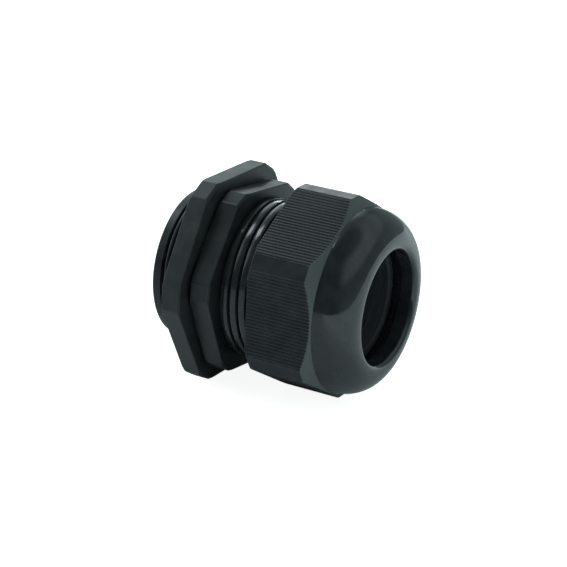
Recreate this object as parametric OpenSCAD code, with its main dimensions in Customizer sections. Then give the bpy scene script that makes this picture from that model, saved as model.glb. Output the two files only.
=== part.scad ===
// Liquid-tight cable gland for a 1-1/4 inch tapered entry thread, lying on its side.
// The cable runs along X: it enters at the threaded stub (-X) and leaves through the domed nut (+X).
// The origin is the centre of the hexagon's back face, where the gland seats on a panel. +Z is up.

/* [Entry thread] */
// Radius over the crests of the entry thread, under the locknut
entry_r = 21.08; // [21.06:0.02:21.2]
// Radius over the crests at the free end, where the tapered thread has become thinner
entry_tip_r = 20.85; // [20.75:0.05:20.85]
// Length of the entry thread behind the hexagon
entry_l = 15.8; // [15.4:0.1:18]
// Length of the thicker stretch of the entry thread, next to the hexagon
entry_full_l = 6.9; // [6.8:0.1:7.2]
// Radius of the clear bore through the entry thread
entry_bore_r = 16.2; // [15.6:0.1:16.4]

/* [Body hexagon] */
// Distance from the axis to each wide flat of the body hexagon
body_flat = 24.9; // [24.6:0.1:25.5]
// Distance from the axis to each narrow flat that cuts a corner of the hexagon
body_corner_flat = 27.4; // [27.2:0.1:27.8]
// Thickness of the body hexagon
body_hex_l = 5.9; // [5:0.1:6.5]
// Turn of the body hexagon about the axis
body_phase = -7.8; // [-30:0.1:30]

/* [Clamping neck] */
// Radius over the crests of the neck thread, which carries the domed nut
neck_r = 22.45; // [22.2:0.05:22.45]
// Radius at the root of the neck thread
neck_root_r = 20.9; // [20.6:0.1:21.2]
// Axial position of the front end of the neck
neck_end = 24.7; // [24.5:0.1:24.7]
// Radius of the wide bore inside the neck, which takes the seal
neck_bore_r = 16.9; // [16.8:0.05:16.9]

/* [Claws] */
// Number of claws around the neck, each one a node of its own
claw_count = 16; // [16]
// Angle that each claw covers
claw_angle = 17.4; // [15:0.2:17.4]
// Radius of the circle on which the claws bend
claw_pivot_r = 18.2; // [18.1:0.05:18.3]
// Radius of the rounded root of a claw
claw_root_r = 1.0; // [0.9:0.05:1.0]
// Length of a claw from its bending line to its tip
claw_l = 12.9; // [12:0.1:12.9]

/* [Domed nut] */
// Axial position of the back face of the domed nut
nut_back = 16.6; // [16.4:0.1:17]
// Distance from the axis to each wide ribbed flat of the nut
nut_flat = 26; // [25.8:0.1:26.2]
// Distance from the axis to each smooth narrow flat that cuts a corner of the nut
nut_corner_flat = 28.6; // [28.3:0.1:28.8]
// Turn of the nut about the axis
nut_phase = 28.6; // [-30:0.1:30]
// Axial position where the dome starts
dome_start = 36; // [35.8:0.1:36.2]
// Axial position of the front of the lip
lip_x = 46.15; // [45.8:0.05:46.5]
// Radius of the open mouth
mouth_r = 15.65; // [15.5:0.05:15.8]

/* [Seal] */
// Radius of the cable passage through the rubber seal
seal_bore_r = 14.3; // [13.8:0.1:14.6]
// Axial position of the back end of the seal
seal_back = 20; // [19:0.1:21]
// Axial position of the front face of the seal
seal_front = 38.7; // [38.5:0.1:38.7]

/* [Locknut and washer] */
// Distance from the axis to each wide flat of the locknut
locknut_flat = 28.3; // [28:0.1:28.6]
// Distance from the axis to each narrow flat that cuts a corner of the locknut
locknut_corner_flat = 30.95; // [30.8:0.05:31.4]
// Thickness of the locknut
locknut_l = 5.6; // [5:0.1:5.8]
// Turn of the locknut about the axis
locknut_phase = -2.2; // [-30:0.1:30]
// Thickness of the sealing washer between the hexagon and the locknut
washer_l = 0.9; // [0.8:0.05:0.9]
// Outer radius of the sealing washer
washer_r = 24.3; // [23.5:0.1:24.3]

/* [Hidden] */
$fn = 96;
// radial clearance of a nut on its thread, both drawn as plain cylinders over the crests
thread_gap = 0.07;
// gap left between faces that part when something moves
face_gap = 0.05;
edge = 0.5;                                   // chamfer on the hexagons' rims
locknut_front = -washer_l - 2 * face_gap;
locknut_back = locknut_front - locknut_l;
// the cone inside the nut, which presses the claws inward
cone_start = 31.6;
cone_start_r = 20.4;
cone_end = 41.6;
cone_end_r = mouth_r + 0.25;
// the conical cut across the nut's corners ends where the dome starts
corner_cut_slope = 0.77;
dome_base_r = 25.6;
lip_crown_r = 17.2;
lip_round = lip_crown_r - mouth_r;
claw_pitch_angle = 360 / claw_count;
overlap = 1;                                  // how far cutting tools reach past what they cut

// Points along an elliptical arc; start and stop are angles from the first coordinate's direction
function arc_points(centre, radii, start, stop, steps) = [
    for (i = [0 : steps])
        let (angle = start + (stop - start) * i / steps)
        [centre[0] + radii[0] * cos(angle), centre[1] + radii[1] * sin(angle)]
];

// Turns a shape drawn about Z so that it lies about X, with Z becoming X
module along_x() rotate([0, 90, 0]) children();

// A solid of revolution about X, from an outline of [radius, x] points
module turned(outline, sweep = 360, start = 0) {
    along_x()
        rotate(start)
        rotate_extrude(angle = sweep)
        polygon(outline);
}

// A hexagon with its six corners cut by narrow flats, its first wide flat facing the angle phase
module cut_hexagon(flat, corner_flat, phase) {
    rotate(phase)
    intersection() {
        rotate(-30) circle(r = flat / cos(30), $fn = 6);
        circle(r = corner_flat / cos(30), $fn = 6);
    }
}

// A hexagonal plate from x_low to x_high, with both rims turned to a small chamfer
module hexagon_plate(flat, corner_flat, phase, x_low, x_high) {
    tip_r = corner_flat + 0.12;
    intersection() {
        translate([x_low, 0, 0])
            along_x()
            linear_extrude(x_high - x_low)
            cut_hexagon(flat, corner_flat, phase);
        turned([
            [0, x_low],
            [tip_r - 2 * edge, x_low],
            [tip_r + edge, x_low + 1.5 * edge],
            [tip_r + edge, x_high - 1.5 * edge],
            [tip_r - 2 * edge, x_high],
            [0, x_high]
        ]);
    }
}

module bore(r, x_low, x_high) {
    translate([x_low, 0, 0])
        along_x()
        cylinder(r = r, h = x_high - x_low);
}

// Entry stub, hexagon and threaded neck, moulded in one piece
module gland_body() {
    relief = 1.3;
    color([0.05, 0.055, 0.06])
    difference() {
        union() {
            bore(entry_r, -entry_full_l, 0.5);
            turned([
                [0, -entry_l],
                [entry_tip_r - 0.8, -entry_l],
                [entry_tip_r, -entry_l + 0.8],
                [entry_tip_r, -entry_full_l],
                [0, -entry_full_l]
            ]);
            hexagon_plate(body_flat, body_corner_flat, body_phase, 0, body_hex_l);
            bore(neck_root_r, body_hex_l, body_hex_l + relief);
            turned([
                [0, body_hex_l + relief],
                [neck_r - 0.6, body_hex_l + relief],
                [neck_r, body_hex_l + relief + 0.6],
                [neck_r, neck_end - 0.8],
                [neck_r - 0.8, neck_end],
                [0, neck_end]
            ]);
        }
        bore(entry_bore_r, -entry_l - overlap, neck_end + overlap);
        bore(neck_bore_r, 10, neck_end + overlap);
        // groove that the claws' rounded roots sit in
        along_x()
            rotate_extrude()
            translate([claw_pivot_r, neck_end])
            circle(r = claw_root_r + 0.12, $fn = 48);
    }
}

// One claw: a springy finger with a rounded root and a tapered tip
module claw(number) {
    x_tip = neck_end + claw_l;
    color([0.06, 0.065, 0.07])
    along_x()
        rotate(180 + (number - 1) * claw_pitch_angle - claw_angle / 2)
        rotate_extrude(angle = claw_angle)
        union() {
            translate([claw_pivot_r, neck_end])
                circle(r = claw_root_r, $fn = 48);
            polygon([
                [claw_pivot_r - claw_root_r, neck_end],
                [claw_pivot_r + claw_root_r, neck_end],
                [18.45, x_tip - 3.6],
                [17.35, x_tip - 0.8],
                [16.7, x_tip],
                [16.3, x_tip],
                [16.1, x_tip - 0.6]
            ]);
        }
}

// The domed nut: ribbed hexagonal grip, conical cuts at its corners, and a dome that rolls into the mouth
module dome_nut() {
    grip_end = dome_start + 0.3;
    rim_r = nut_corner_flat + 0.12;
    dome_height = lip_x - dome_start;
    color([0.05, 0.055, 0.06])
    difference() {
        union() {
            intersection() {
                translate([nut_back, 0, 0])
                    along_x()
                    linear_extrude(grip_end - nut_back)
                    cut_hexagon(nut_flat, nut_corner_flat, nut_phase);
                turned([
                    [0, nut_back],
                    [rim_r - 1.2, nut_back],
                    [rim_r + 0.3, nut_back + 1.0],
                    [rim_r + 0.3, dome_start - corner_cut_slope * (rim_r + 0.3 - dome_base_r)],
                    [dome_base_r, dome_start + 0.2],
                    [0, dome_start + 0.2]
                ]);
            }
            turned(concat(
                [[0, dome_start - overlap], [dome_base_r, dome_start - overlap]],
                arc_points([lip_crown_r, dome_start], [dome_base_r - lip_crown_r, dome_height], 0, 90, 16),
                arc_points([lip_crown_r, lip_x - lip_round], [lip_round, lip_round], 100, 180, 6),
                [[mouth_r, dome_start], [0, dome_start]]
            ));
        }
        // threaded part, then the pressing cone, then the mouth
        bore(neck_r + thread_gap, nut_back - overlap, cone_start);
        turned([
            [0, cone_start - overlap],
            [cone_start_r, cone_start - overlap],
            [cone_start_r, cone_start],
            [cone_end_r, cone_end],
            [mouth_r, cone_end],
            [mouth_r, lip_x + overlap],
            [0, lip_x + overlap]
        ]);
    }
}

// Rubber seal: a sleeve inside the claws, with a collar in front of their tips
module seal() {
    collar_back = neck_end + claw_l + 0.3;
    color([0.03, 0.03, 0.03])
    turned([
        [seal_bore_r, seal_back],
        [neck_bore_r - 0.7, seal_back],
        [neck_bore_r - 0.3, seal_back + 0.6],
        [neck_bore_r - 0.3, neck_end - 0.8],
        [15.9, collar_back - 3],
        [15.9, collar_back],
        [16.8, collar_back],
        [16.8, seal_front - 0.3],
        [16.5, seal_front],
        [seal_bore_r + 0.4, seal_front],
        [seal_bore_r, seal_front - 0.4]
    ]);
}

module sealing_washer() {
    color([0.08, 0.08, 0.08])
    difference() {
        bore(washer_r, -face_gap - washer_l, -face_gap);
        bore(entry_r + thread_gap, -face_gap - washer_l - overlap, overlap);
    }
}

module locknut() {
    color([0.05, 0.055, 0.06])
    difference() {
        hexagon_plate(locknut_flat, locknut_corner_flat, locknut_phase, locknut_back, locknut_front);
        bore(entry_r + thread_gap, locknut_back - overlap, locknut_front + overlap);
    }
}

gland_body();
dome_nut();
seal();
sealing_washer();
locknut();
claw(1);  // claw_01
claw(2);  // claw_02
claw(3);  // claw_03
claw(4);  // claw_04
claw(5);  // claw_05
claw(6);  // claw_06
claw(7);  // claw_07
claw(8);  // claw_08
claw(9);  // claw_09
claw(10);  // claw_10
claw(11);  // claw_11
claw(12);  // claw_12
claw(13);  // claw_13
claw(14);  // claw_14
claw(15);  // claw_15
claw(16);  // claw_16
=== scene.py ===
"""Cable gland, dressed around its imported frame.

The gland lies along X: the threaded entry stub is at -X, the domed nut's mouth at +X, and +Z is up.
Every turned piece is a loft: rows run along its outline and columns run round the axis.
"""

import math

import bmesh
import bpy
import numpy as np
from mathutils import Matrix, Vector


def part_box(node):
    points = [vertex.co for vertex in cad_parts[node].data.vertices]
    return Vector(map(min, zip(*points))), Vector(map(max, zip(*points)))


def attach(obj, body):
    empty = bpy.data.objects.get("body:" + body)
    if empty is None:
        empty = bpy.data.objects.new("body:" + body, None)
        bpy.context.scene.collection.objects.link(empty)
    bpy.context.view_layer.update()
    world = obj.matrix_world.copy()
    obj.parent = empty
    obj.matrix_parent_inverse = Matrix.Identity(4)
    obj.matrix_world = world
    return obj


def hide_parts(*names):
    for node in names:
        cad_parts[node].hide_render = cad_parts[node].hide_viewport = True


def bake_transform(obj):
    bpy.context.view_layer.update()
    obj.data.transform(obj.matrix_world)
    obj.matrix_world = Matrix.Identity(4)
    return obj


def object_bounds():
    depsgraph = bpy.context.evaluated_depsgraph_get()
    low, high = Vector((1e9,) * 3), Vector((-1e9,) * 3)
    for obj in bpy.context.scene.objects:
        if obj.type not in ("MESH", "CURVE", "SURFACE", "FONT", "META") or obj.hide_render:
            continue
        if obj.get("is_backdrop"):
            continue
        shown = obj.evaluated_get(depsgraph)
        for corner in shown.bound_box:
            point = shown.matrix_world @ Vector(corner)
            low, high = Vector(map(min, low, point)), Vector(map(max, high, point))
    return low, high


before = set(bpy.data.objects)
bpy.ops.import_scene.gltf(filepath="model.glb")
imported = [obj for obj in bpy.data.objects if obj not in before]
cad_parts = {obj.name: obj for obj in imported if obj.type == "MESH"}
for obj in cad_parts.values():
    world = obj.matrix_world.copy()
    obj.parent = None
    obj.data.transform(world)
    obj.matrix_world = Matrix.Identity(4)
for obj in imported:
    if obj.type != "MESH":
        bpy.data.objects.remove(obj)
cad_lo, cad_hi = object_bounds()

MM = 0.001
TURN = 2 * math.pi

# ---- where the pieces are, in millimetres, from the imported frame


def span_x(node):
    """The lowest and highest X of a CAD node, in millimetres."""
    lo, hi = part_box(node)
    return lo.x / MM, hi.x / MM


stub_end, neck_end = span_x("gland_body")
nut_back, lip_x = span_x("dome_nut")
lock_back, lock_front = span_x("locknut")
washer_back, washer_front = span_x("sealing_washer")
seal_back, seal_front = span_x("seal")
claw_tip = span_x("claw_01")[1]
seal_collar_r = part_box("seal")[1].z / MM
washer_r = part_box("sealing_washer")[1].z / MM

# ---- dimensions in millimetres

HEX_FRONT = 5.9
BODY_FLAT, BODY_CORNER, BODY_PHASE = 24.9, 27.4, -7.8
LOCK_FLAT, LOCK_CORNER, LOCK_PHASE = 28.3, 30.95, -2.2
NUT_FLAT, NUT_CORNER, NUT_PHASE = 26.0, 28.6, 28.6
ENTRY_BORE, SEAL_POCKET, POCKET_START = 16.2, 16.9, 10.0
STUB_BAND_R, STUB_CREST_R, STUB_ROOT_R = 20.95, 21.08, 19.45
NECK_CREST_R, NECK_ROOT_R = 22.45, 20.9
THREAD_GAP = 0.08
NECK_PITCH, ENTRY_PITCH = 2.7, 2.209
NECK_CREST_AT, ENTRY_CREST_AT = 9.825, -12.3
ENTRY_THREAD_START, ENTRY_THREAD_END = -13.3, -0.3
NECK_THREAD_START, NECK_RUN_OUT = 6.2, 0.8
NUT_THREAD_START, NUT_THREAD_END = nut_back + 0.7, 31.2
LOCK_LEAD_IN = 0.4
DOME_START, DOME_BASE_R, LIP_CROWN_R, MOUTH_R = 36.0, 25.6, 17.2, 15.65
CORNER_SLOPE = 0.77
CONE_BACK, CONE_BACK_R, CONE_FRONT, CONE_FRONT_R = 31.6, 20.4, 41.6, 15.9
RIBS_PER_FACET, SAMPLES_PER_RIB, RIB_DEPTH = 25, 8, 0.22
CLAW_PIVOT_R, CLAW_ROOT_R, CLAW_ANGLE, CLAW_COUNT = 18.2, 1.0, 17.4, 16
SEAL_BORE_R, SEAL_RING_PITCH, SEAL_RING_HEIGHT = 14.3, 2.55, 0.25
TOOTH_PITCH, TOOTH_HEIGHT = 2.0, 0.4


# ---- lofting


class Outline:
    """Rows of a loft in order along its outline. x and r may be numbers or one value per column."""

    def __init__(self, thetas):
        self.thetas = np.asarray(thetas, float)
        self.items = []

    def spread(self, value):
        return np.broadcast_to(np.asarray(value, float), self.thetas.shape).copy()

    def corner(self, x, r, size=0.0):
        """A corner of the outline, rounded off over the given size."""
        self.items.append(("corner", self.spread(x), self.spread(r), size))

    def path(self, xs, rs):
        """Rows through a run of points, for a curve."""
        for x, r in zip(xs, rs):
            self.corner(x, r)

    def thread(self, x0, x1, pitch, radius, backwards=False, samples=16):
        """Rows that follow a right-handed helix between two planes, so that crests stay crisp."""
        count = math.ceil(samples * ((x1 - x0) / pitch + 1))
        steps = np.arange(count + 1)
        xs = x0 + pitch * (steps[:, None] / samples - 1 + self.thetas[None, :] / TURN)
        xs = np.clip(xs, x0, x1)
        rs = radius(xs, self.thetas[None, :])
        joins = np.minimum(steps + samples, count)
        if backwards:
            xs, rs = xs[::-1], rs[::-1]
            joins = np.maximum(steps - samples, 0)
        self.items.append(("thread", xs, rs, joins))

    def edge_row(self, index, last):
        """The first or last row of an item, as (x, r)."""
        kind, x, r, _ = self.items[index % len(self.items)]
        if kind == "corner":
            return np.array([x, r])
        row = -1 if last else 0
        return np.array([x[row], r[row]])

    def rounded(self, index, steps=4):
        """The rows of a rounded corner: a smooth bend with one plain row on each side of it."""
        _, x, r, size = self.items[index]
        here = np.array([x, r])
        back = self.edge_row(index - 1, True) - here
        ahead = self.edge_row(index + 1, False) - here
        back_length = np.maximum(np.linalg.norm(back, axis=0), 1e-9)
        ahead_length = np.maximum(np.linalg.norm(ahead, axis=0), 1e-9)
        reach = np.minimum(size, 0.4 * np.minimum(back_length, ahead_length))
        start = here + back / back_length * reach
        stop = here + ahead / ahead_length * reach
        rows = [here + back / back_length * reach * 1.15]
        for t in np.linspace(0, 1, steps):
            rows.append((1 - t) ** 2 * start + 2 * t * (1 - t) * here + t * t * stop)
        rows.append(here + ahead / ahead_length * reach * 1.15)
        return rows

    def rows(self):
        """All rows as arrays x and r, with the row each one joins after a full turn."""
        xs, rs, joins = [], [], []
        for index, (kind, x, r, extra) in enumerate(self.items):
            if kind == "thread":
                joins += list(len(xs) + extra)
                xs += list(x)
                rs += list(r)
                continue
            found = self.rounded(index) if extra > 0 else [np.array([x, r])]
            for row in found:
                joins.append(len(xs))
                xs.append(row[0])
                rs.append(row[1])
        return np.array(xs), np.array(rs), np.array(joins)


def ring_faces(count, columns, joins):
    """Quads of a loft that closes along its outline and round the axis."""
    row = np.arange(count)
    ahead = (row + 1) % count
    faces = []
    for column in range(columns - 1):
        a = row * columns + column
        b = ahead * columns + column
        faces.append(np.stack([a, b, b + 1, a + 1], axis=1))
    a = row * columns + columns - 1
    b = ahead * columns + columns - 1
    faces.append(np.stack([a, b, joins[ahead] * columns, joins[row] * columns], axis=1))
    return np.concatenate(faces)


def merged(points, quads):
    """Points with coinciding ones joined, and the quads and triangles that this leaves."""
    keys = np.round(points / 1e-8).astype(np.int64)
    _, first, where = np.unique(keys, axis=0, return_index=True, return_inverse=True)
    corners = where.ravel()[quads]
    same = corners == np.roll(corners, -1, axis=1)
    crossed = (corners[:, 0] == corners[:, 2]) | (corners[:, 1] == corners[:, 3])
    whole = corners[(same.sum(axis=1) == 0) & ~crossed]
    pinched = (same.sum(axis=1) == 1) & ~crossed
    triangles = corners[pinched][~same[pinched]].reshape(-1, 3)
    return points[first], whole, triangles, where.ravel()


def signed_volume(points, triangles):
    a, b, c = (points[triangles[:, i]] for i in range(3))
    return float(np.einsum("ij,ij->", a, np.cross(b, c)))


def note_bends(mesh):
    """Store how sharply the surface bends outward at each vertex, in radians, for the wear on edges."""
    shape = bmesh.new()
    shape.from_mesh(mesh)
    bends = [max(edge.calc_face_angle_signed(0.0) for edge in vert.link_edges) for vert in shape.verts]
    shape.free()
    mesh.attributes.new("bend", "FLOAT", "POINT").data.foreach_set("value", bends)


def mesh_object(name, points, quads, caps=(), sharp_deg=38):
    """A closed, smooth-shaded object whose faces all look outward."""
    points, quads, triangles, where = merged(points, quads)
    caps = [where[cap].tolist() for cap in caps]
    fans = [np.stack([quads[:, 0], quads[:, i], quads[:, i + 1]], axis=1) for i in (1, 2)]
    fans += [triangles] + [np.array([[c[0], c[i], c[i + 1]] for i in range(1, len(c) - 1)]) for c in caps]
    faces = quads.tolist() + triangles.tolist() + caps
    if signed_volume(points, np.concatenate(fans)) < 0:
        faces = [face[::-1] for face in faces]
    mesh = bpy.data.meshes.new(name)
    mesh.from_pydata(points.tolist(), [], faces)
    mesh.shade_smooth()
    mesh.set_sharp_from_angle(angle=math.radians(sharp_deg))
    note_bends(mesh)
    obj = bpy.data.objects.new(name, mesh)
    bpy.context.scene.collection.objects.link(obj)
    return obj


def polar(x, r, theta):
    """Points in metres. Theta 0 is up, and a quarter turn leads to -Y."""
    return np.stack([x, -r * np.sin(theta), r * np.cos(theta)], axis=-1) * MM


def turned_piece(name, outline):
    xs, rs, joins = outline.rows()
    points = polar(xs, rs, outline.thetas[None, :]).reshape(-1, 3)
    return mesh_object(name, points, ring_faces(len(xs), len(outline.thetas), joins))


# ---- columns and cross-sections


def even_columns(count):
    return np.arange(count) * TURN / count


def facet_angles(phase):
    """Directions of the twelve flats: wide and narrow in turn, the first one wide."""
    return np.radians(phase + 30 * np.arange(12))


def flat_distances(flat, corner):
    return np.where(np.arange(12) % 2 == 0, flat, corner)


def edge_angles(flat, corner, phase):
    """Directions of the twelve edges between wide and narrow flats."""
    half = math.atan((corner / flat - math.cos(math.pi / 6)) / math.sin(math.pi / 6))
    wide = facet_angles(phase)[::2]
    return np.concatenate([wide - half, wide + half])


def facet_columns(flat, corner, phase, count=180):
    """Even columns, with more of them close to each edge of the cut hexagon."""
    near = np.radians([-1.3, -0.8, -0.45, -0.15, 0.15, 0.45, 0.8, 1.3])
    edges = edge_angles(flat, corner, phase)
    columns = np.concatenate([even_columns(count), (edges[:, None] + near).ravel()])
    return np.unique(np.round(columns % TURN, 6))


def cut_hexagon(thetas, flat, corner, phase, sharpness=500):
    """Radius of a hexagon with cut corners at each column, its edges slightly rounded."""
    facing = np.cos(thetas[:, None] - facet_angles(phase)[None, :])
    share = np.maximum(facing, 0) / flat_distances(flat, corner)[None, :]
    top = share.max(axis=1)
    return 1 / (top * ((share / top[:, None]) ** sharpness).sum(axis=1) ** (1 / sharpness))


def rib_half_width():
    """Half the width of the nut's wide flats that carries ribs."""
    edge = (NUT_CORNER - NUT_FLAT * math.cos(math.pi / 6)) / math.sin(math.pi / 6)
    return edge - 0.14


def nut_columns():
    """Columns that follow the ribs on the wide flats, and are even across the narrow ones."""
    half = rib_half_width()
    across = np.linspace(-half, half, RIBS_PER_FACET * SAMPLES_PER_RIB + 1)
    on_ribs = np.arctan(across / NUT_FLAT)
    reach = on_ribs[-1]
    between = np.linspace(reach, math.pi / 3 - reach, 22)[1:-1]
    wide = facet_angles(NUT_PHASE)[::2]
    columns = (wide[:, None] + np.concatenate([on_ribs, between])[None, :]).ravel()
    return np.unique(np.round(columns % TURN, 7))


def rib_cut(thetas):
    """How far each column lies below the rib tops: narrow grooves between wide, rounded ribs."""
    wide = facet_angles(NUT_PHASE)[::2]
    away = (thetas[:, None] - wide[None, :] + math.pi) % TURN - math.pi
    nearest = away[np.arange(len(thetas)), np.abs(away).argmin(axis=1)]
    across = NUT_FLAT * np.tan(nearest)
    half = rib_half_width()
    place = (across + half) / (2 * half) * RIBS_PER_FACET
    ridge = np.abs(np.sin(math.pi * place)) ** 0.8
    return np.where(np.abs(across) <= half + 1e-6, RIB_DEPTH * (1 - ridge), 0.0)


# ---- threads


def smooth_ramp(x, start, stop):
    t = np.clip((x - start) / (stop - start), 0, 1)
    return t * t * (3 - 2 * t)


def thread_wave(x, theta, pitch, crest_at):
    """1 along the middle of a right-handed thread's crest and -1 along the middle of its groove."""
    return np.cos(TURN * ((x - crest_at) / pitch - theta / TURN))


def neck_share(x, theta, groove=-0.97, crest=-0.5):
    """1 on the neck's crests and 0 in its grooves: broad, slightly crowned crests and narrow grooves."""
    wave = thread_wave(x, theta, NECK_PITCH, NECK_CREST_AT)
    return smooth_ramp(wave, groove, crest) * (0.97 + 0.03 * wave)


def entry_share(x, theta, groove=-0.8, crest=1.0):
    """1 on the entry thread's rounded crests and 0 in its grooves."""
    wave = thread_wave(x, theta, ENTRY_PITCH, ENTRY_CREST_AT)
    return np.sin(0.5 * math.pi * np.clip((wave - groove) / (crest - groove), 0, 1))


def neck_thread(x, theta):
    """Outer thread of the neck, running out at both ends."""
    start = smooth_ramp(x, NECK_THREAD_START, NECK_THREAD_START + 0.6)
    fade = start * (1 - smooth_ramp(x, neck_end - 2 * NECK_RUN_OUT, neck_end - NECK_RUN_OUT))
    return NECK_ROOT_R + (NECK_CREST_R - NECK_ROOT_R) * neck_share(x, theta) * fade


def entry_thread(x, theta):
    """Outer thread of the entry stub, a little thinner towards its free end."""
    crest = np.interp(x, [stub_end, 0], [STUB_BAND_R, STUB_CREST_R])
    fade = 1 - smooth_ramp(x, ENTRY_THREAD_END - 0.6, ENTRY_THREAD_END)
    band = 1 - smooth_ramp(x, ENTRY_THREAD_START, ENTRY_THREAD_START + 0.2)
    share = np.maximum(entry_share(x, theta) * fade, band)
    return STUB_ROOT_R + (crest - STUB_ROOT_R) * share


def nut_thread(x, theta):
    """Inner thread of the domed nut, in mesh with the neck's."""
    start = smooth_ramp(x, NUT_THREAD_START, NUT_THREAD_START + 1.2)
    fade = start * (1 - smooth_ramp(x, NUT_THREAD_END - 1, NUT_THREAD_END))
    depth = NECK_CREST_R - NECK_ROOT_R
    share = neck_share(x, theta, groove=-1.0, crest=-0.74)
    return NECK_CREST_R + THREAD_GAP - depth * (1 - share) * fade


def lock_thread(x, theta):
    """Inner thread of the locknut, in mesh with the entry stub's."""
    rise = smooth_ramp(x, lock_back + 1.3, lock_back + 1.9)
    fall = 1 - smooth_ramp(x, lock_front - 1.1, lock_front - LOCK_LEAD_IN)
    depth = STUB_CREST_R - STUB_ROOT_R
    share = entry_share(x, theta, groove=-0.99, crest=0.7)
    return STUB_CREST_R + THREAD_GAP - depth * (1 - share) * rise * fall


# ---- the pieces


def hexagon_rim(outline, x, radius, chamfer, inward):
    """Two rounded corners of a hexagonal plate's rim; inward is +1 if the plate lies towards +X."""
    face = (x, radius - chamfer)
    side = (x + inward * 0.55 * chamfer, radius)
    first, second = (face, side) if inward > 0 else (side, face)
    outline.corner(*first, 0.14)
    outline.corner(*second, 0.14)


def gland_body():
    """Entry stub, hexagon and neck, moulded in one piece."""
    o = Outline(facet_columns(BODY_FLAT, BODY_CORNER, BODY_PHASE))
    radius = cut_hexagon(o.thetas, BODY_FLAT, BODY_CORNER, BODY_PHASE)
    chamfer = np.maximum(0.28, radius - BODY_CORNER + 0.75)
    o.corner(stub_end, ENTRY_BORE + 0.5, 0.15)
    o.corner(stub_end, STUB_BAND_R - 0.3, 0.12)
    o.corner(stub_end + 0.3, STUB_BAND_R, 0.12)
    o.corner(ENTRY_THREAD_START, STUB_BAND_R)
    o.thread(ENTRY_THREAD_START, ENTRY_THREAD_END, ENTRY_PITCH, entry_thread)
    o.corner(0, STUB_ROOT_R, 0.15)
    hexagon_rim(o, 0, radius, chamfer, 1)
    hexagon_rim(o, HEX_FRONT, radius, chamfer, -1)
    o.corner(HEX_FRONT, NECK_ROOT_R, 0.3)
    o.thread(NECK_THREAD_START, neck_end - NECK_RUN_OUT, NECK_PITCH, neck_thread, samples=24)
    o.corner(neck_end, NECK_ROOT_R - 0.6, 0.2)
    half_turn = np.linspace(0, math.pi, 11)
    groove_r = CLAW_ROOT_R + 0.12
    o.path(neck_end - groove_r * np.sin(half_turn), CLAW_PIVOT_R + groove_r * np.cos(half_turn))
    o.corner(neck_end, SEAL_POCKET)
    o.corner(POCKET_START, SEAL_POCKET, 0.3)
    o.corner(POCKET_START, ENTRY_BORE, 0.3)
    o.corner(stub_end + 0.5, ENTRY_BORE, 0.2)
    return turned_piece("body_shell", o)


def dome_nut():
    """Ribbed hexagonal grip with a glossy dome that rolls into the mouth."""
    o = Outline(nut_columns())
    radius = cut_hexagon(o.thetas, NUT_FLAT, NUT_CORNER, NUT_PHASE) - rib_cut(o.thetas)
    chamfer = np.maximum(0.3, radius - NUT_CORNER + 1.1)
    o.corner(nut_back, NECK_CREST_R + 0.85, 0.15)
    o.corner(nut_back, radius - chamfer, 0.12)
    o.corner(nut_back + 0.66 * chamfer, radius, 0.12)
    o.corner(DOME_START - CORNER_SLOPE * (radius - DOME_BASE_R), radius, 0.12)
    o.corner(DOME_START, DOME_BASE_R, 0.1)
    quarter = np.linspace(0, 0.5 * math.pi, 32)[1:]
    dome_r = LIP_CROWN_R + (DOME_BASE_R - LIP_CROWN_R) * np.cos(quarter)
    o.path(DOME_START + (lip_x - DOME_START) * np.sin(quarter), dome_r)
    lip_round = LIP_CROWN_R - MOUTH_R
    inward = np.linspace(0.5 * math.pi, math.pi, 10)[1:]
    o.path(lip_x - lip_round + lip_round * np.sin(inward), LIP_CROWN_R + lip_round * np.cos(inward))
    o.corner(CONE_FRONT, MOUTH_R, 0.3)
    o.corner(CONE_FRONT, CONE_FRONT_R)
    o.corner(CONE_BACK, CONE_BACK_R, 0.3)
    o.corner(CONE_BACK, NECK_CREST_R + THREAD_GAP, 0.3)
    o.thread(NUT_THREAD_START, NUT_THREAD_END, NECK_PITCH, nut_thread, backwards=True, samples=20)
    return turned_piece("dome_shell", o)


def locknut():
    """Hexagonal nut with cut corners on the entry thread."""
    o = Outline(facet_columns(LOCK_FLAT, LOCK_CORNER, LOCK_PHASE))
    radius = cut_hexagon(o.thetas, LOCK_FLAT, LOCK_CORNER, LOCK_PHASE)
    chamfer = np.maximum(0.28, radius - LOCK_CORNER + 0.8)
    o.corner(lock_back, STUB_CREST_R + 0.65, 0.15)
    hexagon_rim(o, lock_back, radius, chamfer, 1)
    hexagon_rim(o, lock_front, radius, chamfer, -1)
    o.corner(lock_front, STUB_CREST_R + 0.65, 0.15)
    thread_start, thread_end = lock_back + LOCK_LEAD_IN, lock_front - LOCK_LEAD_IN
    o.corner(thread_end, STUB_CREST_R + THREAD_GAP)
    o.thread(thread_start, thread_end, ENTRY_PITCH, lock_thread, backwards=True)
    return turned_piece("locknut_shell", o)


def sealing_washer():
    """Flat ring between the hexagon and the locknut."""
    o = Outline(even_columns(144))
    o.corner(washer_back, STUB_CREST_R + 0.07, 0.08)
    o.corner(washer_back, washer_r, 0.3)
    o.corner(washer_front, washer_r, 0.3)
    o.corner(washer_front, STUB_CREST_R + 0.07, 0.08)
    return turned_piece("washer_ring", o)


def loop_normals(loop):
    """Inward unit normals of a closed outline of [x, r] points."""
    tangent = np.roll(loop, -1, axis=0) - np.roll(loop, 1, axis=0)
    normal = np.stack([-tangent[:, 1], tangent[:, 0]], axis=1)
    normal /= np.maximum(np.linalg.norm(normal, axis=1, keepdims=True), 1e-9)
    area = np.sum(loop[:, 0] * np.roll(loop[:, 1], -1) - np.roll(loop[:, 0], -1) * loop[:, 1])
    return normal if area > 0 else -normal


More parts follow.
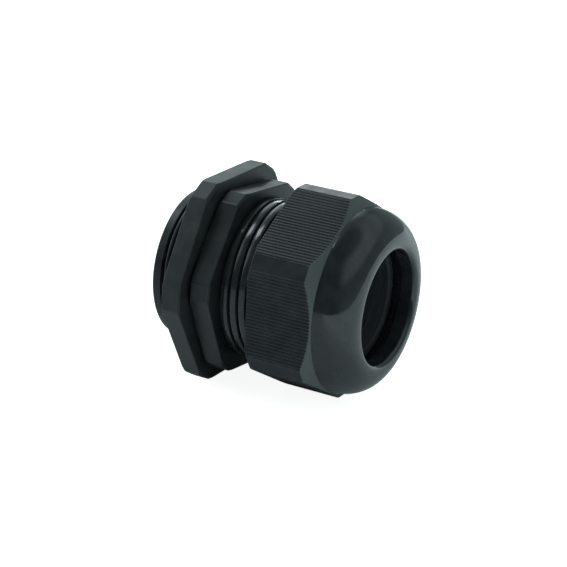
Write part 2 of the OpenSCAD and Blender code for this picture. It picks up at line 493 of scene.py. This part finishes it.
def rounded_sides(half_angle, columns, edge_round, mean_r):
    """Angles across a sector, and how far each column lies below the outline at its rounded sides."""
    flat = half_angle - edge_round / mean_r
    turn = np.linspace(0, 0.5 * math.pi, 5)[1:]
    beyond = flat + edge_round / mean_r * np.sin(turn)
    below = edge_round * (1 - np.cos(turn))
    angles = np.concatenate([-beyond[::-1], np.linspace(-flat, flat, columns), beyond])
    insets = np.concatenate([below[::-1], np.zeros(columns), below])
    return angles, insets


def sector_piece(name, loop, middle, half_angle, columns, edge_round=0.0):
    """A closed outline of [x, r] points swept through a sector, and capped at both sides."""
    angles, insets = np.linspace(-half_angle, half_angle, columns), np.zeros(columns)
    if edge_round > 0:
        angles, insets = rounded_sides(half_angle, columns, edge_round, loop[:, 1].mean())
    normals = loop_normals(loop)
    rings = [loop + normals * inset for inset in insets]
    points = [polar(ring[:, 0], ring[:, 1], middle + angle) for ring, angle in zip(rings, angles)]
    here = np.arange(len(loop))
    ahead = np.roll(here, -1)
    strip = np.stack([here, ahead, ahead + len(loop), here + len(loop)], axis=1)
    quads = np.concatenate([strip + column * len(loop) for column in range(len(angles) - 1)])
    last = (len(angles) - 1) * len(loop)
    return mesh_object(name, np.concatenate(points), quads, [here[::-1], here + last])


def claw_loop():
    """Outline of a claw: rounded root, smooth back, tapered tip and small teeth on the inside."""
    root = np.linspace(math.pi, 0, 13)
    points = [
        [neck_end - CLAW_ROOT_R * math.sin(a), CLAW_PIVOT_R + CLAW_ROOT_R * math.cos(a)]
        for a in root
    ]
    tip_back = claw_tip - 3.6
    points += [[x, np.interp(x, [neck_end, tip_back], [19.2, 18.45])] for x in
               np.linspace(neck_end, tip_back, 8)[1:]]
    points += [[claw_tip - 2.2, 17.95], [claw_tip - 0.8, 17.35], [claw_tip - 0.3, 17.0]]
    points += [[claw_tip, 16.65], [claw_tip, 16.35], [claw_tip - 0.25, 16.2]]
    inner_x = np.linspace(claw_tip - 0.6, neck_end + 0.6, 61)
    line = np.interp(inner_x, [neck_end, claw_tip - 0.6], [17.2, 16.1])
    tooth = np.abs(((inner_x - neck_end) / TOOTH_PITCH) % 1 - 0.5) * 2
    inside = smooth_ramp(inner_x, neck_end + 1, neck_end + 2)
    teeth = line + TOOTH_HEIGHT * tooth * inside
    points += [[x, r] for x, r in zip(inner_x, teeth)]
    return np.array(points)


def claw(number):
    """One springy finger in front of the neck."""
    middle = (number - 1) * TURN / CLAW_COUNT
    half = math.radians(CLAW_ANGLE / 2)
    return sector_piece(f"claw_finger_{number:02d}", claw_loop(), middle, half, 9, 0.22)


def seal_loop():
    """Outline of the seal: sleeve, collar and gripping rings in the bore."""
    sleeve = SEAL_POCKET - 0.3
    points = [[seal_back + 0.1, SEAL_BORE_R + 0.1], [seal_back, SEAL_BORE_R + 0.35]]
    points += [[seal_back, sleeve - 0.5], [seal_back + 0.15, sleeve - 0.15]]
    points += [[seal_back + 0.6, sleeve], [neck_end - 0.8, sleeve]]
    points += [[x, np.interp(x, [neck_end - 0.8, 34.9], [sleeve, 15.9])] for x in (27, 30, 33)]
    points += [[34.9, 15.9], [37.75, 15.9], [37.9, 16.05], [37.95, 16.5], [38.05, 16.72]]
    points += [[38.2, seal_collar_r], [38.45, seal_collar_r - 0.05], [38.62, seal_collar_r - 0.18]]
    points += [[seal_front, seal_collar_r - 0.4], [seal_front, 15.4]]
    points += [[seal_front - 0.05, SEAL_BORE_R + 0.5], [seal_front - 0.15, SEAL_BORE_R + 0.2]]
    points += [[seal_front - 0.4, SEAL_BORE_R]]
    ring_x = np.linspace(seal_front - 0.9, seal_back + 0.6, 70)
    wave = 0.5 - 0.5 * np.cos(TURN * (ring_x - seal_front + 0.9) / SEAL_RING_PITCH)
    points += [[x, SEAL_BORE_R + SEAL_RING_HEIGHT * w**2] for x, w in zip(ring_x, wave)]
    return np.array(points)


def seal_wedge(number):
    """The part of the seal behind one claw."""
    middle = (number - 1) * TURN / CLAW_COUNT
    half = TURN / (2 * CLAW_COUNT)
    return sector_piece(f"seal_wedge_{number:02d}", seal_loop(), middle, half, 12)


# ---- materials

SATIN_LEVEL, GLOSS_LEVEL = 0.3, 0.5
MOTTLE_MM, GRAIN_MM, PEEL_MM = 5.0, 0.16, 1.6
GRAIN_DEPTH_MM, PEEL_DEPTH_MM = 0.004, 0.006
RUBBED_SHARE, SCUFF_SHARE = 0.6, 0.16


def new_material(name):
    material = bpy.data.materials.new(name)
    material.use_nodes = True
    tree = material.node_tree
    shader = next(n for n in tree.nodes if n.type == "BSDF_PRINCIPLED")
    return material, tree, shader


def noise(tree, coordinates, size_mm, detail=2.0, roughness=0.5):
    """A noise whose features are about the given size."""
    node = tree.nodes.new("ShaderNodeTexNoise")
    node.inputs["Scale"].default_value = 1 / (size_mm * MM)
    node.inputs["Detail"].default_value = detail
    node.inputs["Roughness"].default_value = roughness
    tree.links.new(coordinates, node.inputs["Vector"])
    return node.outputs["Fac"]


def stretched(tree, coordinates, scale, rotation):
    node = tree.nodes.new("ShaderNodeMapping")
    node.inputs["Scale"].default_value = scale
    node.inputs["Rotation"].default_value = rotation
    tree.links.new(coordinates, node.inputs["Vector"])
    return node.outputs["Vector"]


def ranged(tree, value, low, high, to_low=0.0, to_high=1.0):
    node = tree.nodes.new("ShaderNodeMapRange")
    node.interpolation_type = "SMOOTHSTEP"
    node.inputs["From Min"].default_value = low
    node.inputs["From Max"].default_value = high
    node.inputs["To Min"].default_value = to_low
    node.inputs["To Max"].default_value = to_high
    tree.links.new(value, node.inputs["Value"])
    return node.outputs["Result"]


def math_node(tree, operation, a, b):
    node = tree.nodes.new("ShaderNodeMath")
    node.operation = operation
    for socket, value in zip(node.inputs, (a, b)):
        if isinstance(value, (int, float)):
            socket.default_value = value
        else:
            tree.links.new(value, socket)
    return node.outputs["Value"]


def colour_mix(tree, factor, a, b):
    node = tree.nodes.new("ShaderNodeMix")
    node.data_type = "RGBA"
    tree.links.new(factor, node.inputs["Factor"])
    for socket, value in ((node.inputs[6], a), (node.inputs[7], b)):
        if isinstance(value, tuple):
            socket.default_value = (*value, 1)
        else:
            tree.links.new(value, socket)
    return node.outputs[2]


def bumped(tree, height, depth_mm, normal=None):
    node = tree.nodes.new("ShaderNodeBump")
    node.inputs["Strength"].default_value = 1.0
    node.inputs["Distance"].default_value = depth_mm * MM
    tree.links.new(height, node.inputs["Height"])
    if normal is not None:
        tree.links.new(normal, node.inputs["Normal"])
    return node.outputs["Normal"]


def object_space(tree):
    return tree.nodes.new("ShaderNodeTexCoord").outputs["Object"]


def split_axes(tree, vector):
    node = tree.nodes.new("ShaderNodeSeparateXYZ")
    tree.links.new(vector, node.inputs["Vector"])
    return node.outputs["X"], node.outputs["Y"], node.outputs["Z"]


def axial_mask(tree, start, stop):
    """0 before one plane across the axis and 1 after the other."""
    x, _, _ = split_axes(tree, object_space(tree))
    return ranged(tree, x, start * MM, stop * MM)


def chamfer_painted_highlight_mask(tree):
    """1 on the cone that trims the domed nut's corners, fading out just before its edge: where the nut's
    painted highlight goes.
    """
    x, y, z = split_axes(tree, object_space(tree))
    squares = [math_node(tree, "MULTIPLY", side, side) for side in (y, z)]
    radius = math_node(tree, "SQRT", math_node(tree, "ADD", *squares), 0.0)
    reach = math_node(tree, "ADD", math_node(tree, "MULTIPLY", radius, CORNER_SLOPE), x)
    cone = DOME_START + CORNER_SLOPE * DOME_BASE_R
    return ranged(tree, reach, (cone - 0.35) * MM, (cone - 0.08) * MM)


def float_mix(tree, factor, a, b):
    node = tree.nodes.new("ShaderNodeMix")
    for socket, value in zip((node.inputs["Factor"], node.inputs[2], node.inputs[3]), (factor, a, b)):
        tree.links.new(value, socket)
    return node.outputs[0]


def rubbed_edges(tree, mottle):
    """How far each spot is rubbed: only where the surface bends sharply outward, and patchy."""
    bend = tree.nodes.new("ShaderNodeAttribute")
    bend.attribute_name = "bend"
    rubbed = ranged(tree, bend.outputs["Fac"], 0.17, 0.5)
    return math_node(tree, "MULTIPLY", rubbed, ranged(tree, mottle, 0.3, 0.7, 0.35, 1.0))


def scuff_lines(tree, coordinates):
    """Sparse, short scratches that run mostly along the axis."""
    along = stretched(tree, coordinates, (0.12, 1, 1), (0.3, 0.5, 0.2))
    return ranged(tree, noise(tree, along, 0.25, 3.0), 0.66, 0.78)


def moulded(name, dark, light, satin, gloss=None, gloss_planes=None, chamfer=None):
    """Moulded black plastic: mottled tone, spark-eroded grain, rubbed edges and faint scuffs.

    satin and gloss are roughness values; gloss_planes says where the gloss finish starts.
    chamfer is the colour of a painted highlight laid on the cone that trims the domed nut's corners.
    """
    material, tree, shader = new_material(name)
    coordinates = object_space(tree)
    mottle = noise(tree, coordinates, MOTTLE_MM, 4.0, 0.6)
    grain = noise(tree, coordinates, GRAIN_MM, 2.0, 0.5)
    peel = noise(tree, coordinates, PEEL_MM, 1.0, 0.4)
    scuffs = scuff_lines(tree, coordinates)
    worn = tuple(min(1.0, 2.4 * c + 0.012) for c in light)
    tone = colour_mix(tree, ranged(tree, mottle, 0.35, 0.68), dark, light)
    rubbed = rubbed_edges(tree, mottle)
    tone = colour_mix(tree, math_node(tree, "MULTIPLY", rubbed, RUBBED_SHARE), tone, worn)
    tone = colour_mix(tree, math_node(tree, "MULTIPLY", scuffs, SCUFF_SHARE), tone, worn)
    finish = ranged(tree, mottle, 0.3, 0.7, satin - 0.04, satin + 0.04)
    depth = ranged(tree, grain, 0.0, 1.0)
    level = shader.inputs["Specular IOR Level"]
    level.default_value = SATIN_LEVEL
    if gloss is not None:
        mask = axial_mask(tree, *gloss_planes)
        shiny = ranged(tree, mottle, 0.3, 0.7, gloss - 0.02, gloss + 0.03)
        finish = float_mix(tree, mask, finish, shiny)
        calm = math_node(tree, "SUBTRACT", 1.0, math_node(tree, "MULTIPLY", mask, 0.9))
        depth = math_node(tree, "MULTIPLY", depth, calm)
        tree.links.new(ranged(tree, mask, 0.0, 1.0, SATIN_LEVEL, GLOSS_LEVEL), level)
    # Painted highlight: a lighter tone on the cone at the domed nut's corners, standing in for the light
    # those corners catch.
    if chamfer is not None:
        painted_highlight = math_node(tree, "SUBTRACT", chamfer_painted_highlight_mask(tree), mask)
        tone = colour_mix(tree, math_node(tree, "MAXIMUM", painted_highlight, 0.0), tone, chamfer)
    finish = math_node(tree, "ADD", finish, math_node(tree, "MULTIPLY", scuffs, 0.12))
    normal = bumped(tree, depth, GRAIN_DEPTH_MM)
    normal = bumped(tree, peel, PEEL_DEPTH_MM, normal)
    tree.links.new(tone, shader.inputs["Base Color"])
    tree.links.new(finish, shader.inputs["Roughness"])
    tree.links.new(normal, shader.inputs["Normal"])
    shader.inputs["IOR"].default_value = 1.5
    return material


def rubber(name, dark, light, roughness):
    """Black rubber: dull, with a powdery bloom and a fine pebbled skin."""
    material, tree, shader = new_material(name)
    coordinates = object_space(tree)
    bloom = noise(tree, coordinates, 3.5, 5.0, 0.65)
    pebble = noise(tree, coordinates, 0.22, 3.0, 0.6)
    tone = colour_mix(tree, ranged(tree, bloom, 0.38, 0.7), dark, light)
    tree.links.new(tone, shader.inputs["Base Color"])
    tree.links.new(
        ranged(tree, bloom, 0.3, 0.7, roughness - 0.08, roughness + 0.08),
        shader.inputs["Roughness"],
    )
    tree.links.new(bumped(tree, pebble, 0.02), shader.inputs["Normal"])
    shader.inputs["IOR"].default_value = 1.45
    return material


def paper(name, glow_seen, glow_right, tint):
    """The white floor: it glows to the camera, so that shadows stay faint, and glows to the right."""
    material, tree, shader = new_material(name)
    coordinates = object_space(tree)
    fibre = noise(tree, coordinates, 2.0, 3.0)
    tone = colour_mix(tree, fibre, (0.86, 0.86, 0.86), (0.90, 0.90, 0.90))
    tree.links.new(tone, shader.inputs["Base Color"])
    shader.inputs["Roughness"].default_value = 0.9
    seen = tree.nodes.new("ShaderNodeLightPath").outputs["Is Camera Ray"]
    glow = colour_mix(tree, seen, tint, (1.0, 1.0, 1.0))
    tree.links.new(glow, shader.inputs["Emission Color"])
    right = math_node(tree, "MULTIPLY", axial_mask(tree, 20, 110), glow_right)
    hidden = math_node(tree, "MULTIPLY", right, math_node(tree, "SUBTRACT", 1.0, seen))
    strength = math_node(tree, "ADD", hidden, math_node(tree, "MULTIPLY", seen, glow_seen))
    tree.links.new(strength, shader.inputs["Emission Strength"])
    return material


BODY_BLACK = moulded(
    "body_nylon", (0.016, 0.019, 0.021), (0.024, 0.027, 0.028), 0.36,
    gloss=0.16, gloss_planes=(6.2, 6.7),
)
# The nut's chamfer colour is a painted highlight on the cone at its corners.
NUT_BLACK = moulded(
    "nut_nylon", (0.014, 0.017, 0.019), (0.022, 0.026, 0.027), 0.36,
    gloss=0.07, gloss_planes=(35.9, 36.15), chamfer=(0.088, 0.100, 0.103),
)
LOCK_BLACK = moulded("locknut_nylon", (0.023, 0.026, 0.027), (0.032, 0.036, 0.036), 0.44)
CLAW_BLACK = moulded("claw_nylon", (0.018, 0.020, 0.021), (0.026, 0.028, 0.029), 0.34)
SEAL_BLACK = rubber("seal_rubber", (0.015, 0.019, 0.022), (0.023, 0.028, 0.032), 0.75)
WASHER_BLACK = rubber("washer_rubber", (0.010, 0.011, 0.012), (0.018, 0.020, 0.021), 0.7)


# ---- assembly


def mount(obj, body, node, material):
    """Put a piece on its body, in place of its CAD node."""
    obj.data.materials.append(material)
    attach(obj, body)
    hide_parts(node)


def mount_wedge(number):
    """A wedge of the seal: its back sits in the neck and its claw lies in front of it."""
    wedge = seal_wedge(number)
    wedge.data.materials.append(SEAL_BLACK)
    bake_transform(wedge)
    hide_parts("seal")


mount(gland_body(), "gland_body", "gland_body", BODY_BLACK)
mount(dome_nut(), "dome_nut", "dome_nut", NUT_BLACK)
mount(locknut(), "locknut", "locknut", LOCK_BLACK)
mount(sealing_washer(), "sealing_washer", "sealing_washer", WASHER_BLACK)
for number in range(1, CLAW_COUNT + 1):
    node = f"claw_{number:02d}"
    mount(claw(number), node, node, CLAW_BLACK)
    mount_wedge(number)


# ---- floor, light and camera

COOL, LAVENDER, ICE = (0.83, 0.99, 1.0), (0.86, 0.90, 1.0), (0.92, 1.0, 1.0)
FLOOR_SIZE, FLOOR_SEEN = 3.0, 0.9
WALL_SIDE = (0.866, 0.5, 0.0)
VIEW_AZIMUTH, VIEW_ELEVATION, VIEW_ROLL, VIEW_DISTANCE = 28.57, 22.01, 2.218, 0.4918
VIEW_LENS, VIEW_SENSOR, VIEW_SHIFT = 114.11, 36.0, -0.0098
ROOM_LIGHT, WALL_LIGHT, LOW_LIGHT, WINDOW_LIGHT, FLOOR_GLOW = 0.12, 0.50, 0.22, 2.2, 0.58
WINDOW_AT, WINDOW_EDGE, WINDOW_CORE = (-100, 22), 57, 30


def floor(z):
    """A plain white floor for the gland to lie on."""
    mesh = bpy.data.meshes.new("floor")
    corners = [(x * FLOOR_SIZE, y * FLOOR_SIZE, z) for x, y in ((-1, -1), (1, -1), (1, 1), (-1, 1))]
    mesh.from_pydata(corners, [], [(0, 1, 2, 3)])
    obj = bpy.data.objects.new("floor", mesh)
    obj.data.materials.append(paper("floor_paper", FLOOR_SEEN, FLOOR_GLOW, COOL))
    bpy.context.scene.collection.objects.link(obj)
    obj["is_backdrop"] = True


def direction(azimuth, elevation):
    """Unit vector; azimuth 0 is towards -Y and 90 towards +X."""
    a, e = math.radians(azimuth), math.radians(elevation)
    return Vector((math.sin(a) * math.cos(e), -math.cos(a) * math.cos(e), math.sin(e)))


def middle_of_gland():
    return Vector(((cad_lo.x + cad_hi.x) / 2, 0, 0))


def softbox(name, azimuth, elevation, size, radiance, colour, distance=0.8):
    """A square area light facing the gland, given by its brightness as seen from there."""
    light = bpy.data.lights.new(name, "AREA")
    light.size = size
    light.energy = radiance * math.pi * size * size
    light.color = colour
    obj = bpy.data.objects.new(name, light)
    towards = direction(azimuth, elevation)
    obj.location = middle_of_gland() + towards * distance
    obj.rotation_euler = towards.to_track_quat("Z", "Y").to_euler()
    bpy.context.scene.collection.objects.link(obj)


def dot_with(tree, vector, other):
    node = tree.nodes.new("ShaderNodeVectorMath")
    node.operation = "DOT_PRODUCT"
    node.inputs[1].default_value = other
    tree.links.new(vector, node.inputs[0])
    return node.outputs["Value"]


def room_brightness(tree):
    """A dim room with a big window to the left and a lit wall to the right, dark in front and above."""
    view = tree.nodes.new("ShaderNodeTexCoord").outputs["Generated"]
    _, depth, height = split_axes(tree, view)
    side = dot_with(tree, view, WALL_SIDE)
    wall = math_node(
        tree, "MULTIPLY", ranged(tree, height, 0.42, 0.62), ranged(tree, height, 0.84, 0.96, 1, 0)
    )
    wall = math_node(tree, "MULTIPLY", wall, ranged(tree, side, -0.1, 0.3, 0.0, WALL_LIGHT))
    wall = math_node(tree, "MULTIPLY", wall, ranged(tree, depth, 0.3, 0.7, 1.0, 0.45))
    low = ranged(tree, side, -0.1, 0.6, 0.0, LOW_LIGHT)
    facing = dot_with(tree, view, direction(*WINDOW_AT))
    edge, core = (math.cos(math.radians(angle)) for angle in (WINDOW_EDGE, WINDOW_CORE))
    window = ranged(tree, facing, edge, core, 0.0, WINDOW_LIGHT)
    window = math_node(tree, "MULTIPLY", window, ranged(tree, height, 0.55, 0.8, 1.0, 0.25))
    room = math_node(tree, "ADD", math_node(tree, "ADD", wall, low), window)
    return math_node(tree, "ADD", room, ROOM_LIGHT)


def studio_world(colour):
    """White to the camera, and the room to everything else."""
    world = bpy.data.worlds.new("studio")
    world.use_nodes = True
    tree = world.node_tree
    tree.nodes.clear()
    out = tree.nodes.new("ShaderNodeOutputWorld")
    mix = tree.nodes.new("ShaderNodeMixShader")
    path = tree.nodes.new("ShaderNodeLightPath")
    lit = tree.nodes.new("ShaderNodeBackground")
    shown = tree.nodes.new("ShaderNodeBackground")
    lit.inputs["Color"].default_value = (*colour, 1)
    shown.inputs["Color"].default_value = (1, 1, 1, 1)
    tree.links.new(room_brightness(tree), lit.inputs["Strength"])
    tree.links.new(path.outputs["Is Camera Ray"], mix.inputs["Fac"])
    tree.links.new(lit.outputs[0], mix.inputs[1])
    tree.links.new(shown.outputs[0], mix.inputs[2])
    tree.links.new(mix.outputs[0], out.inputs["Surface"])
    bpy.context.scene.world = world


def photo_camera():
    """A camera at the photograph's viewing angle, with its slight roll."""
    azimuth, roll = math.radians(VIEW_AZIMUTH), math.radians(VIEW_ROLL)
    back = direction(VIEW_AZIMUTH, VIEW_ELEVATION)
    right = Vector((math.cos(azimuth), math.sin(azimuth), 0))
    up = back.cross(right)
    rolled_right = right * math.cos(roll) + up * math.sin(roll)
    rolled_up = up * math.cos(roll) - right * math.sin(roll)
    data = bpy.data.cameras.new("camera")
    data.lens, data.sensor_width, data.shift_x = VIEW_LENS, VIEW_SENSOR, VIEW_SHIFT
    data.clip_start, data.clip_end = 0.01, 20.0
    obj = bpy.data.objects.new("camera", data)
    obj.location = middle_of_gland() + back * VIEW_DISTANCE
    turn = np.array([rolled_right, rolled_up, back]).T
    obj.rotation_mode = "QUATERNION"
    obj.rotation_quaternion = Matrix(turn.tolist()).to_quaternion()
    bpy.context.scene.collection.objects.link(obj)
    bpy.context.scene.camera = obj


floor(min(cad_lo.z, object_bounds()[0].z))
softbox("high_left", -84, 61, 0.22, 7, LAVENDER)
softbox("left_back", -153, 18, 0.11, 4.5, ICE)
studio_world(COOL)
bpy.context.scene.view_settings.view_transform = "Standard"
photo_camera()
